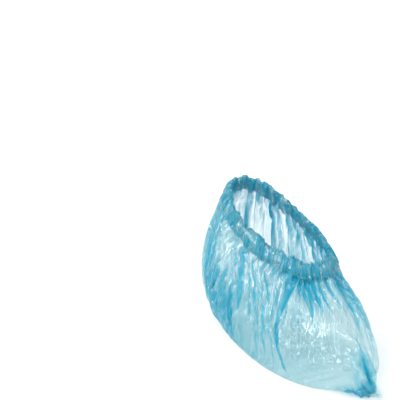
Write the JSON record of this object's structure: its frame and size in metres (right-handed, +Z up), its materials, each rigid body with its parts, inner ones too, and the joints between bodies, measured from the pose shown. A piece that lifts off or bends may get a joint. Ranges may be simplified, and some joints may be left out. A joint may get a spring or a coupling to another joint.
{
  "type": "waterproof shoe cover",
  "caption": "Hollow gathered film overshoe with an elastic hem round its open top, welded flanges at toe and heel, and a flat sole.",
  "frame": {"origin": "on the inside of the sole film, under the middle of the shoe that the cover holds", "axes": "+Z up, the toe points to -Y, and +X is on the right of someone who looks at the toe from in front"},
  "size_m": [0.1119, 0.3336, 0.1377],
  "materials": {
    "film": "thin glossy film, pale blue and see-through, creased",
    "hem_film": "the same film doubled and gathered, a deeper blue",
    "weld": "two layers of film welded flat, with crimped ridges",
    "elastic": "matt, pale"
  },
  "bodies": {
    "root": {"film_body": "film", "hem_casing": "hem_film", "elastic_band": "elastic", "toe_seam": "weld", "heel_seam": "weld"}
  },
  "joints": []
}
